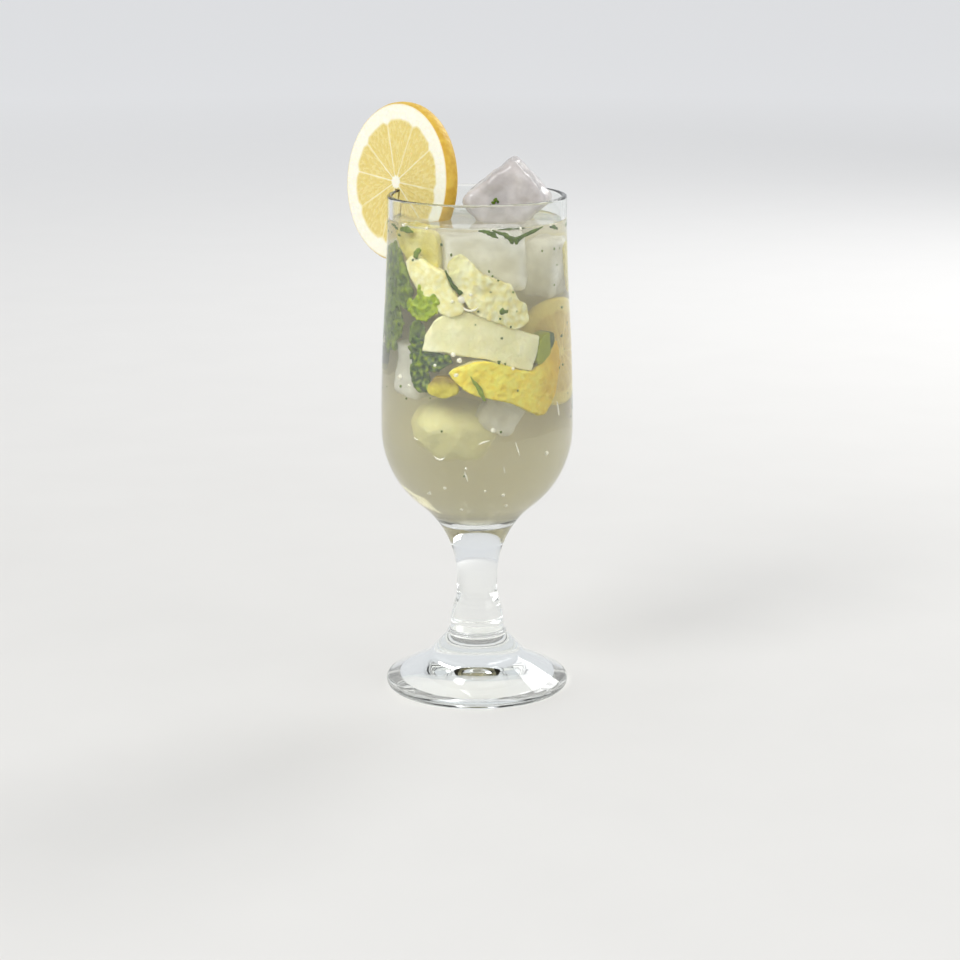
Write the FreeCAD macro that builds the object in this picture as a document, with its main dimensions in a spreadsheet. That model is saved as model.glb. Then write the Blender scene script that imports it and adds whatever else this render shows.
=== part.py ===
import FreeCAD, Part
import math
import os
import re

import Sketcher
from FreeCAD import Vector

# A mojito in a stemmed pilsner glass, with a lemon wheel slit over the rim and one ice cube standing
# out of the drink. Millimetres, +Z up. The origin is the centre of the ring that the foot stands on.

SIZES = {
    # The glass, outside.
    "glass_height": (184.0, "table to rim"),
    "rim_radius": (32.4, "outside of the rim"),
    "bowl_radius": (35.2, "outside of the bowl where it is widest"),
    "bowl_height": (98.5, "height of that widest place"),
    "waist_radius": (7.5, "thinnest stretch of the stem"),
    "waist_top": (41.4, "where the stem starts to open into the bowl"),
    "waist_bottom": (36.6, "where the stem starts to open towards the foot"),
    "waist_flare": (11.5, "hollow round below the waist"),
    "neck_radius": (9.9, "lower end of the stem"),
    "neck_height": (22.4, "height of that end"),
    "groove_round": (1.2, "hollow round between stem and collar"),
    "bead_top_radius": (10.3, "upper edge of the collar's bead"),
    "bead_top": (21.3, "height of that edge"),
    "bead_round": (1.2, "round of the bead"),
    "collar_radius": (11.0, "lower edge of the bead, where the foot begins"),
    "collar_height": (19.8, "height of that edge"),
    "knee_radius": (18.8, "where the foot's steep cone would meet its flat one"),
    "knee_height": (11.0, "height of that meeting"),
    "knee_round": (12.0, "hollow round between the two cones"),
    "foot_radius": (34.05, "outside of the foot"),
    "foot_edge": (2.0, "round of the foot's edge"),
    "kick_radius": (27.0, "hollow under the foot"),
    "kick_height": (6.0, "height of that hollow"),
    # The glass, inside.
    "wall": (1.9, "wall at the bowl and the rim"),
    "rim_round": (0.8, "fire-polished round of the rim"),
    "floor_height": (63.7, "lowest point of the inside"),
    "floor_round": (20.0, "round of the inside's floor"),
    # The drink.
    "headspace": (8.5, "rim to the surface of the drink"),
    # The lemon wheel.
    "lemon_radius": (28.5, "outside of the peel"),
    "lemon_thickness": (5.5, "across the wheel"),
    "lemon_bulge": (0.5, "how far the peel swells between its two cut edges"),
    "lemon_edge": (0.4, "softened cut edges"),
    "lemon_angle": (151.5, "where on the rim the wheel sits, from +X towards +Y"),
    "lemon_yaw": (-48.6, "turn of the wheel about the upright"),
    "lemon_lean": (6.0, "how far its face looks up"),
    "lemon_rise": (2.6, "centre of the wheel above the rim"),
    "slit_gap": (0.25, "slit to glass, on each side"),
    # The ice cube.
    "ice_length": (25.0, "along its upper slope"),
    "ice_depth": (22.0, "along its ridge"),
    "ice_height": (20.5, "across"),
    "ice_draft": (3.0, "taper from the ice tray"),
    "ice_melt": (2.4, "round of its edges"),
    "ice_from_wall": (20.1, "inner wall at the rim to the centre of the cube, along X"),
    "ice_behind": (1.0, "centre of the cube behind the axis"),
    "ice_float": (7.1, "centre of the cube above the surface of the drink"),
    "ice_tilt": (-39.5, "turn about its ridge"),
    "ice_turn": (-6.0, "turn about the upright"),
}

START, END, CENTRE = 1, 2, 3
ROOT, UPRIGHT_AXIS, LEVEL_AXIS = -1, -2, -1
FAULTS = ("Invalid", "Error")

doc = FreeCAD.newDocument("Mojito")
sheet = doc.addObject("Spreadsheet::Sheet", "Sizes")


def fill_sheet():
    """One row for each driving size: its name, its value and what it measures."""
    for row, (alias, (value, meaning)) in enumerate(SIZES.items(), start=1):
        sheet.set(f"A{row}", alias)
        sheet.set(f"B{row}", str(value))
        sheet.set(f"C{row}", meaning)
        sheet.setAlias(f"B{row}", alias)
    doc.recompute()


def size(expression):
    """The value of an expression in the sheet's aliases."""
    return float(sheet.evalExpression(expression))


def bind(thing, target, expression):
    """Tie a property or a constraint of an object to an expression in the sheet's aliases."""
    named = re.sub("[a-z_]+", lambda word: f"Sizes.{word[0]}" if word[0] in SIZES else word[0], expression)
    thing.setExpression(target, named)


def new_body(name):
    body = doc.addObject("PartDesign::Body", name)
    body.Label = name
    return body


def new_sketch(body, name, role):
    """A sketch on one of the body's own origin planes."""
    sketch = body.newObject("Sketcher::SketchObject", name)
    plane = next(item for item in body.Origin.OriginFeatures if item.Role == role)
    sketch.AttachmentSupport = (plane, "")
    sketch.MapMode = "FlatFace"
    return sketch


class Outline:
    """Half of a round piece's section, drawn as a chain: sketch x is the radius, sketch y the height."""

    def __init__(self, body, name, radius, height):
        self.body = body
        self.sketch = new_sketch(body, name, "XZ_Plane")
        self.origin = (radius, height)
        self.tip = Vector(size(radius), size(height), 0)
        self.first = None
        self.tail = None

    def constrain(self, *terms):
        return self.sketch.addConstraint(Sketcher.Constraint(*terms))

    def measure(self, kind, expression, *where):
        """A dimension that the sheet drives."""
        index = self.constrain(kind, *where, size(expression))
        bind(self.sketch, f"Constraints[{index}]", expression)

    def hold(self, curve, end, radius=None, height=None):
        """Fix a point's radius, its height or both. Zero puts it on the axis or at the base."""
        if radius == "0":
            self.constrain("PointOnObject", curve, end, UPRIGHT_AXIS)
        elif radius:
            self.measure("DistanceX", radius, ROOT, START, curve, end)
        if height == "0":
            self.constrain("PointOnObject", curve, end, LEVEL_AXIS)
        elif height:
            self.measure("DistanceY", height, ROOT, START, curve, end)

    def join(self, curve, begin, finish, tangent):
        """Hang a curve on the end of the chain. Of its two ends, the chain enters it by the first."""
        if self.tail:
            self.constrain("Tangent" if tangent else "Coincident", *self.tail, curve, begin)
        else:
            self.first = (curve, begin)
            self.hold(curve, begin, *self.origin)
        self.tail = (curve, finish)
        return curve

    def line(self, end, tangent=False):
        curve = self.sketch.addGeometry(Part.LineSegment(self.tip, end))
        self.tip = end
        return self.join(curve, START, END, tangent)

    def arc(self, centre, end, clockwise=False, tangent=False):
        low, high = (end, self.tip) if clockwise else (self.tip, end)
        circle = Part.Circle(centre, Vector(0, 0, 1), (end - centre).Length)
        angles = [math.atan2(point.y - centre.y, point.x - centre.x) for point in (low, high)]
        curve = self.sketch.addGeometry(Part.ArcOfCircle(circle, *angles))
        self.tip = end
        ends = (END, START) if clockwise else (START, END)
        return self.join(curve, *ends, tangent)

    def level_centre(self, curve, end):
        """An arc that is upright at one of its ends."""
        self.constrain("Horizontal", curve, CENTRE, curve, end)

    def line_to(self, radius, height, tangent=False):
        curve = self.line(Vector(size(radius), size(height), 0), tangent)
        self.hold(curve, END, radius, height)
        return curve

    def bow_to(self, radius, height, round_size, clockwise=False):
        """An arc of a given radius to a given point."""
        end = Vector(size(radius), size(height), 0)
        half = (end - self.tip) * 0.5
        left = Vector(-half.y, half.x, 0) * (-1 if clockwise else 1)
        reach = math.sqrt(size(round_size) ** 2 - half.Length**2) / half.Length
        curve = self.arc(self.tip + half + left * reach, end, clockwise)
        self.hold(*self.tail, radius, height)
        self.measure("Radius", round_size, curve)

    def swell_to(self, radius, height, last_round=None):
        """Two arcs in an S, upright at both ends: equal ones, or with a radius given for the last."""
        start, end = self.tip, Vector(size(radius), size(height), 0)
        across = end.x - start.x
        both = (across**2 + (end.y - start.y) ** 2) / (2 * abs(across))
        last = size(last_round) if last_round else both / 2
        side = Vector(math.copysign(1, across), 0, 0)
        first_centre = start + side * (both - last)
        last_centre = end - side * last
        joint = last_centre + (first_centre - last_centre) * (last / both)
        clockwise = across * (end.y - start.y) > 0
        lower = self.arc(first_centre, joint, clockwise)
        self.level_centre(lower, END if clockwise else START)
        upper = self.arc(last_centre, end, not clockwise, tangent=True)
        self.level_centre(*self.tail)
        self.hold(*self.tail, radius, height)
        if last_round:
            self.measure("Radius", last_round, upper)
        else:
            self.constrain("Equal", lower, upper)

    def close(self):
        self.line(Vector(size(self.origin[0]), size(self.origin[1]), 0))
        self.constrain("Coincident", *self.tail, *self.first)

    def revolve(self, kind, name):
        """Turn the closed outline once round the upright axis, as a Revolution or as a Groove."""
        self.close()
        feature = self.body.newObject(f"PartDesign::{kind}", name)
        feature.Profile = self.sketch
        feature.ReferenceAxis = (self.sketch, ["V_Axis"])
        feature.Angle = 360.0
        self.sketch.Visibility = False
        return feature


def touch_point(point, centre, radius):
    """Where a line from a point touches a circle, on the circle's left as the point sees it."""
    reach = centre - point
    length = math.sqrt(reach.Length**2 - radius**2)
    heading = math.atan2(reach.y, reach.x) + math.asin(radius / reach.Length)
    return point + Vector(math.cos(heading), math.sin(heading), 0) * length


def draw_foot(outline):
    """A flat base, a round edge, and two cones with a hollow round between them."""
    edge_centre = Vector(size("foot_radius - foot_edge"), size("foot_edge"), 0)
    knee = Vector(size("knee_radius"), size("knee_height"), 0)
    collar = Vector(size("collar_radius"), size("collar_height"), 0)
    edge_top = touch_point(knee, edge_centre, size("foot_edge"))
    outward = (edge_top - knee).normalize()
    upward = (collar - knee).normalize()
    half_angle = outward.getAngle(upward) / 2
    setback = size("knee_round") / math.tan(half_angle)
    knee_centre = knee + (outward + upward).normalize() * (size("knee_round") / math.sin(half_angle))

    outline.line_to("foot_radius - foot_edge", "0")
    edge = outline.arc(edge_centre, edge_top, tangent=True)
    outline.measure("Radius", "foot_edge", edge)
    flat_cone = outline.line(knee + outward * setback, tangent=True)
    knee_arc = outline.arc(knee_centre, knee + upward * setback, clockwise=True, tangent=True)
    outline.measure("Radius", "knee_round", knee_arc)
    steep_cone = outline.line_to("collar_radius", "collar_height", tangent=True)
    meeting = outline.sketch.addGeometry(Part.Point(knee), True)
    outline.hold(meeting, START, "knee_radius", "knee_height")
    for cone in (flat_cone, steep_cone):
        outline.constrain("PointOnObject", meeting, START, cone)


def draw_cavity(body, name):
    """The inside of the glass: a round floor, an oval bowl tangent to it, and the upper wall's gentle S."""
    outline = Outline(body, name, "0", "floor_height")
    side = Vector(size("bowl_radius - wall"), size("bowl_height"), 0)
    floor_centre = Vector(0, size("floor_height + floor_round"), 0)
    rise = side.y - floor_centre.y
    floor_round = size("floor_round")
    oval_round = (side.x**2 + rise**2 - floor_round**2) / (2 * (side.x - floor_round))
    oval_centre = side - Vector(oval_round, 0, 0)
    joint = floor_centre + (floor_centre - oval_centre).normalize() * floor_round

    floor = outline.arc(floor_centre, joint)
    outline.hold(floor, CENTRE, "0")
    outline.measure("Radius", "floor_round", floor)
    oval = outline.arc(oval_centre, side, tangent=True)
    outline.hold(oval, END, "bowl_radius - wall", "bowl_height")
    outline.level_centre(oval, END)
    outline.swell_to("rim_radius - wall", "glass_height")
    outline.line_to("0", "glass_height")
    return outline


def make_glass():
    """One turned solid with a cavity, a hollow under the foot and a rounded rim."""
    body = new_body("glass")
    outline = Outline(body, "glass_outline", "0", "0")
    draw_foot(outline)
    outline.bow_to("bead_top_radius", "bead_top", "bead_round")
    outline.bow_to("neck_radius", "neck_height", "groove_round", clockwise=True)
    outline.swell_to("waist_radius", "waist_bottom", last_round="waist_flare")
    outline.line_to("waist_radius", "waist_top")
    outline.swell_to("bowl_radius", "bowl_height")
    outline.swell_to("rim_radius", "glass_height")
    outline.line_to("0", "glass_height")
    outline.revolve("Revolution", "glass_blank")
    doc.recompute()
    blank = body.Shape.Volume

    draw_cavity(body, "cavity_outline").revolve("Groove", "cavity")
    doc.recompute()
    hollowed = body.Shape.Volume

    kick = Outline(body, "kick_outline", "0", "0")
    kick.line_to("kick_radius", "0")
    kick.bow_to("0", "kick_height", "(kick_radius^2 + kick_height^2) / (2 * kick_height)")
    hollow_foot = kick.revolve("Groove", "kick")
    doc.recompute()
    if not body.Shape.Volume < hollowed < blank:
        raise RuntimeError("the inside of the glass or the hollow of its foot cuts nothing")

    rim_edges = [
        f"Edge{number}"
        for number, edge in enumerate(hollow_foot.Shape.Edges, start=1)
        if abs(edge.BoundBox.ZMin - size("glass_height")) < 0.01 and edge.BoundBox.ZLength < 0.01
    ]
    rim = body.newObject("PartDesign::Fillet", "rim")
    rim.Base = (hollow_foot, rim_edges)
    bind(rim, "Radius", "min(rim_round; wall * 0.45)")
    return body


def make_lemon_wheel():
    """The whole wheel before it is slit: a round slab whose peel swells a little between the cuts."""
    body = new_body("lemon_wheel")
    outline = Outline(body, "lemon_outline", "0", "-lemon_thickness / 2")
    outline.line_to("lemon_radius - lemon_bulge", "-lemon_thickness / 2")
    outline.bow_to(
        "lemon_radius - lemon_bulge",
        "lemon_thickness / 2",
        "(lemon_thickness^2 / 4 + lemon_bulge^2) / (2 * lemon_bulge)",
    )
    outline.line_to("0", "lemon_thickness / 2")
    slab = outline.revolve("Revolution", "lemon_slab")
    doc.recompute()
    cut_edges = [
        f"Edge{number}"
        for number, edge in enumerate(slab.Shape.Edges, start=1)
        if edge.BoundBox.ZLength < 0.01 and edge.BoundBox.XMax > size("lemon_radius") / 2
    ]
    soft = body.newObject("PartDesign::Fillet", "lemon_soft_edges")
    soft.Base = (slab, cut_edges)
    bind(soft, "Radius", "min(lemon_edge; lemon_thickness * 0.2)")
    bind(
        body,
        "Placement",
        "placement(vector((rim_radius - wall / 2) * cos(lemon_angle * 1deg);"
        " (rim_radius - wall / 2) * sin(lemon_angle * 1deg); glass_height + lemon_rise);"
        " rotation(lemon_yaw; 0; 90 - lemon_lean))",
    )
    return body


def make_rim_band():
    """The upper wall of the glass, grown by the slit's gap: what the wheel's slit takes away."""
    body = new_body("rim_band")
    outline = Outline(body, "band_outline", "rim_radius + slit_gap", "glass_height + slit_gap")
    outline.line_to("rim_radius - wall - slit_gap", "glass_height + slit_gap")
    outline.line_to("rim_radius - wall - slit_gap", "glass_height")
    outline.swell_to("bowl_radius - wall - slit_gap", "bowl_height")
    outline.line_to("bowl_radius + slit_gap", "bowl_height")
    outline.swell_to("rim_radius + slit_gap", "glass_height")
    outline.revolve("Revolution", "band")
    return body


def make_ice_cube():
    """A cube from a tray: a little narrower at the top, with melted edges, tipped over its ridge."""
    body = new_body("ice_cube")
    sketch = new_sketch(body, "ice_outline", "XY_Plane")
    half_length, half_depth = size("ice_length / 2"), size("ice_depth / 2")
    signs = ((-1, -1), (1, -1), (1, 1), (-1, 1))
    corners = [Vector(across * half_length, along * half_depth, 0) for across, along in signs]
    for side, corner in enumerate(corners):
        sketch.addGeometry(Part.LineSegment(corner, corners[(side + 1) % 4]))
    for side in range(4):
        sketch.addConstraint(Sketcher.Constraint("Coincident", side, END, (side + 1) % 4, START))
        sketch.addConstraint(Sketcher.Constraint("Vertical" if side % 2 else "Horizontal", side))
    sketch.addConstraint(Sketcher.Constraint("Symmetric", 0, START, 2, START, ROOT, START))
    for side, alias in enumerate(("ice_length", "ice_depth")):
        index = sketch.addConstraint(Sketcher.Constraint("Distance", side, size(alias)))
        bind(sketch, f"Constraints[{index}]", alias)
    block = body.newObject("PartDesign::Pad", "ice_block")
    block.Profile = sketch
    bind(block, "Length", "ice_height")
    bind(block, "TaperAngle", "-ice_draft * 1deg")
    doc.recompute()
    melted = body.newObject("PartDesign::Fillet", "ice_melted_edges")
    melted.Base = (block, [f"Edge{number}" for number in range(1, len(block.Shape.Edges) + 1)])
    bind(melted, "Radius", "ice_melt")
    bind(
        body,
        "Placement",
        "placement(vector(rim_radius - wall - ice_from_wall; ice_behind;"
        " glass_height - headspace + ice_float);"
        " rotation(ice_turn; ice_tilt; 0)) * placement(vector(0; 0; -ice_height / 2); rotation(0; 0; 0))",
    )
    return body


def make_drink_fill():
    """All that the glass would hold up to the surface of the drink, against its inner wall."""
    body = new_body("drink_fill")
    draw_cavity(body, "fill_outline").revolve("Revolution", "fill")
    doc.recompute()
    full = body.Shape.Volume
    above = Outline(body, "headspace_outline", "0", "glass_height - headspace")
    above.line_to("bowl_radius", "glass_height - headspace")
    above.line_to("bowl_radius", "glass_height")
    above.line_to("0", "glass_height")
    above.revolve("Groove", "headspace_cut")
    doc.recompute()
    if not body.Shape.Volume < full:
        raise RuntimeError("the space above the drink cuts nothing")
    return body


def cut(name, base, tool):
    result = doc.addObject("Part::Cut", name)
    result.Base = base
    result.Tool = tool
    result.Label = name
    doc.recompute()
    return result


def check_objects(pieces):
    """Stop if any object of the document failed, or if a piece is not one sound solid."""
    for item in doc.Objects:
        if any(fault in item.State for fault in FAULTS):
            raise RuntimeError(f"{item.Label} is {item.State}")
        if item.TypeId == "Sketcher::SketchObject" and not item.FullyConstrained:
            raise RuntimeError(f"{item.Label} is not fully constrained")
    for piece in pieces:
        shape = piece.Shape
        if shape.isNull() or not shape.isValid() or len(shape.Solids) != 1:
            raise RuntimeError(f"{piece.Label} is not one valid solid")


def main():
    fill_sheet()
    glass = make_glass()
    lemon_wheel = make_lemon_wheel()
    ice_cube = make_ice_cube()
    lemon_slice = cut("lemon_slice", lemon_wheel, make_rim_band())
    drink_round_lemon = cut("drink_round_lemon", make_drink_fill(), lemon_wheel)
    drink = cut("drink", drink_round_lemon, ice_cube)
    doc.recompute()
    pieces = (glass, drink, lemon_slice, ice_cube)
    check_objects(pieces)
    os.makedirs("parts", exist_ok=True)
    for piece in pieces:
        piece.Shape.exportStep(f"parts/{piece.Label}.step")
        print(f"{piece.Label}: {piece.Shape.Volume / 1000:.1f} cm3")


main()
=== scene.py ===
"""Looks of a glass of mojito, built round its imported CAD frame.

Shapes are in millimetres until a piece is made of them.
"""

import math
import random

import bmesh
import bpy
from mathutils import Matrix, Vector, noise
from mathutils.bvhtree import BVHTree


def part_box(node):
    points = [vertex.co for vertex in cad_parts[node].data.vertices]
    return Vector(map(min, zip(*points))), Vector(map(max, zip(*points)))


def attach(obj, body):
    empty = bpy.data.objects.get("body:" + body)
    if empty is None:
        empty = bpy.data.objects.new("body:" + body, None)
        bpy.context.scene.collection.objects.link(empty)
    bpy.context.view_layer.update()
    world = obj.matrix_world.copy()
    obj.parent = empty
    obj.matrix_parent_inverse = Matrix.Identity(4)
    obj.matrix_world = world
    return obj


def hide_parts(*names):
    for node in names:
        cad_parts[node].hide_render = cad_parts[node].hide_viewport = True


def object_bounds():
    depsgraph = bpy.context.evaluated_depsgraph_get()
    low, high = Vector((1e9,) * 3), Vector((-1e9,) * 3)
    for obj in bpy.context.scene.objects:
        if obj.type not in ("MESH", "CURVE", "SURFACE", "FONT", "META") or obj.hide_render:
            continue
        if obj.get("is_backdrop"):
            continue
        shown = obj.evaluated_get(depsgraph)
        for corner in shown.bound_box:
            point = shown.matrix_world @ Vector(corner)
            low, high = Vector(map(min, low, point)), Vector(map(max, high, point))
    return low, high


MM = 0.001
ZONE = "zone"  # a vertex number that materials read: what tissue of the fruit or leaf the surface is
PULP_TOP = 0.3  # the zones from 0 to here are pulp, from its darker to its paler juice cells
FAR_OUT = 60.0  # outside every wall, for rays that aim at the axis

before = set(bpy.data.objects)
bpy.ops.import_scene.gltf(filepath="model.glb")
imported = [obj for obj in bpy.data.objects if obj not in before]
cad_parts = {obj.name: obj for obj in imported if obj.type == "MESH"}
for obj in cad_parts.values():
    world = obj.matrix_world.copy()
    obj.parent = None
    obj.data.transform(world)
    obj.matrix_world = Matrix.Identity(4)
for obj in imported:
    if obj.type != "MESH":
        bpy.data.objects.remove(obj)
cad_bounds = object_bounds()

FLOOR_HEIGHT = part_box("drink")[0].z / MM
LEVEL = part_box("drink")[1].z / MM
GLASS_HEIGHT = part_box("glass")[1].z / MM
LEMON_LOW, LEMON_HIGH = (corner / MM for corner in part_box("lemon_slice"))
ICE_LOW, ICE_HIGH = (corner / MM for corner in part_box("ice_cube"))


# ---- the glass wall as CAD made it


def node_tree(name):
    """A search tree of a CAD node's mesh, in millimetres."""
    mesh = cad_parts[name].data
    points = [vertex.co / MM for vertex in mesh.vertices]
    return BVHTree.FromPolygons(points, [tuple(face.vertices) for face in mesh.polygons])


def radii_of(name, low, high, step):
    """The node's outer radius at even heights, from rays that aim at the axis."""
    tree = node_tree(name)
    radii = []
    for index in range(int((high - low) / step) + 1):
        height = low + index * step
        reach = 0.0
        for turn in range(0, 360, 30):
            away = Vector((math.sin(math.radians(turn)), math.cos(math.radians(turn)), 0.0))
            hit = tree.ray_cast(away * FAR_OUT + Vector((0.0, 0.0, height)), -away)[0]
            if hit:
                reach = max(reach, hit.xy.length)
        radii.append(reach)
    return radii


WALL_STEP = 0.5
WALL_START = FLOOR_HEIGHT + 0.05
WALL_RADII = radii_of("drink", WALL_START, LEVEL - 0.05, WALL_STEP)


def wall_radius(height):
    """The radius of the cavity at a height, held level past both ends."""
    place = min(max((height - WALL_START) / WALL_STEP, 0.0), len(WALL_RADII) - 1.001)
    below = int(place)
    share = place - below
    return WALL_RADII[below] * (1 - share) + WALL_RADII[below + 1] * share


def radius_inside(height, inset):
    """The radius at a height of what lies this far in from the wall, square to it."""
    slope = wall_radius(height + 0.5) - wall_radius(height - 0.5)
    return wall_radius(height) - inset * math.hypot(1.0, slope)


def at_wall(azimuth, depth, inset):
    """The point at an azimuth from the front, this far below the surface and this far in from the wall."""
    height = LEVEL - depth
    reach = radius_inside(height, inset)
    turn = math.radians(azimuth)
    return Vector((reach * math.sin(turn), -reach * math.cos(turn), height))


# ---- mesh helpers


class Heap:
    """Collects shapes of one kind, which become one piece."""

    def __init__(self):
        self.points = []
        self.faces = []
        self.zones = []

    def add(self, shape, place=None, zone=None):
        """Adds a bmesh. place moves each point, and zone gives its tissue where the bmesh doesn't."""
        start = len(self.points)
        tissue = shape.verts.layers.float.get(ZONE)
        for vertex in shape.verts:
            self.zones.append(vertex[tissue] if tissue else zone(vertex.co) if zone else 0.0)
            self.points.append(place(vertex.co) if place else vertex.co.copy())
        shape.verts.index_update()
        for face in shape.faces:
            self.faces.append([start + vertex.index for vertex in face.verts])
        shape.free()

    def mesh(self, name):
        """The heap as a mesh in metres, with its zones and smooth shading."""
        mesh = bpy.data.meshes.new(name)
        mesh.from_pydata([tuple(point * MM) for point in self.points], [], self.faces)
        layer = mesh.attributes.new(ZONE, "FLOAT", "POINT")
        layer.data.foreach_set("value", self.zones)
        mesh.shade_smooth()
        mesh.update()
        return mesh

    def piece(self, name, material, slot, *nodes):
        """Makes the piece of all that was added."""
        make_piece(name, self.mesh(name), material, slot, *nodes)


def in_scene(name, data):
    """A new object in the scene."""
    made = bpy.data.objects.new(name, data)
    bpy.context.scene.collection.objects.link(made)
    return made


def make_piece(name, mesh, material, slot, *nodes):
    """Makes a piece of a mesh in metres, which rides on the one body and stands for the nodes named."""
    mesh.materials.clear()
    mesh.materials.append(material)
    piece = in_scene(name, mesh)
    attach(piece, "root")
    if nodes:
        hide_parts(*nodes)


def evaluated(shape, *modifiers):
    """A shape after modifiers, each given as a kind and its settings."""
    mesh = bpy.data.meshes.new("draft")
    shape.to_mesh(mesh)
    shape.free()
    draft = in_scene("draft", mesh)
    for kind, settings in modifiers:
        modifier = draft.modifiers.new(kind.lower(), kind)
        for key, value in settings.items():
            setattr(modifier, key, value)
    result = bmesh.new()
    result.from_object(draft, bpy.context.evaluated_depsgraph_get())
    bpy.data.objects.remove(draft)
    bpy.data.meshes.remove(mesh)
    return result


def remeshed(shape, cell, softening):
    """The same shape in even small faces with its edges softened."""
    remesh = ("REMESH", {"mode": "VOXEL", "voxel_size": cell})
    soften = ("SMOOTH", {"factor": 0.5, "iterations": softening})
    return evaluated(shape, remesh, soften)


def smooth_loop(corners, steps):
    """A closed line of points that passes smoothly through the corners."""
    line = []
    count = len(corners)
    for index in range(count):
        before, start, end, after = (Vector(corners[(index + k) % count]) for k in (-1, 0, 1, 2))
        for step in range(steps):
            t = step / steps
            bend = 2 * start + (end - before) * t
            bend += (2 * before - 5 * start + 4 * end - after) * t * t
            bend += (3 * start - before - 3 * end + after) * t * t * t
            line.append(bend / 2)
    return line


def plate(outline, thickness):
    """A plate with this outline, as (x, z) points, that goes back from y = 0."""
    shape = bmesh.new()
    face = shape.faces.new([shape.verts.new((x, 0.0, z)) for x, z in outline])
    grown = bmesh.ops.extrude_face_region(shape, geom=[face])["geom"]
    back = [part for part in grown if isinstance(part, bmesh.types.BMVert)]
    bmesh.ops.translate(shape, verts=back, vec=(0.0, thickness, 0.0))
    bmesh.ops.recalc_face_normals(shape, faces=shape.faces)
    return shape


def rounded_block(size, rounding, cuts):
    """A block with round edges and its middle at the origin."""
    shape = bmesh.new()
    bmesh.ops.create_cube(shape, size=2.0)
    bmesh.ops.subdivide_edges(shape, edges=shape.edges[:], cuts=cuts, use_grid_fill=True)
    half = Vector(size) / 2
    for vertex in shape.verts:
        point = Vector([share * reach for share, reach in zip(vertex.co, half)])
        core = Vector([min(max(c, rounding - h), h - rounding) for c, h in zip(point, half)])
        vertex.co = core + (point - core).normalized() * rounding
    return shape


def displaced(shape, rise):
    """Moves each point of the surface out by what rise gives for it."""
    shape.normal_update()
    moves = [vertex.normal * rise(vertex.co) for vertex in shape.verts]
    for vertex, move in zip(shape.verts, moves):
        vertex.co += move
    return shape


def roughen(shape, height, scale, seed, octaves=3):
    """Moves the surface in and out by smooth noise."""
    shift = Vector((seed * 7.3, seed * 3.1, seed * 5.7))
    return displaced(shape, lambda point: height * noise.fractal(point * scale + shift, 1.0, 2.0, octaves))


def ring(shape, radius, height, steps):
    """A level ring of vertices round the axis."""
    turns = (2 * math.pi * step / steps for step in range(steps))
    return [shape.verts.new((radius * math.cos(t), radius * math.sin(t), height)) for t in turns]


def stitch(shape, rows):
    """Joins each closed row of vertices to the next."""
    steps = len(rows[0])
    for inner, outer in zip(rows, rows[1:]):
        for step in range(steps):
            after = (step + 1) % steps
            shape.faces.new((inner[step], outer[step], outer[after], inner[after]))


def turned(profile, steps):
    """A solid of revolution from (radius, height) points that start and end on the axis."""
    shape = bmesh.new()
    rings = []
    for radius, height in profile:
        if radius:
            rings.append(ring(shape, radius, height, steps))
        else:
            rings.append([shape.verts.new((0.0, 0.0, height))] * steps)
    for low, high in zip(rings, rings[1:]):
        for step in range(steps):
            after = (step + 1) % steps
            corners = [low[step], low[after], high[after], high[step]]
            shape.faces.new(list(dict.fromkeys(corners)))
    bmesh.ops.recalc_face_normals(shape, faces=shape.faces)
    return shape


def placed(middle, yaw, tilt, axis="Y"):
    """The move that tilts a shape about an axis, turns it by its yaw and sets its middle on a point."""
    turn = Matrix.Rotation(math.radians(yaw), 4, "Z") @ Matrix.Rotation(math.radians(tilt), 4, axis)
    return Matrix.Translation(middle) @ turn


def smoothstep(low, high, value):
    """0 below low, 1 above high and a smooth rise between."""
    share = min(max((value - low) / (high - low), 0.0), 1.0)
    return share * share * (3 - 2 * share)


# ---- material helpers


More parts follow.
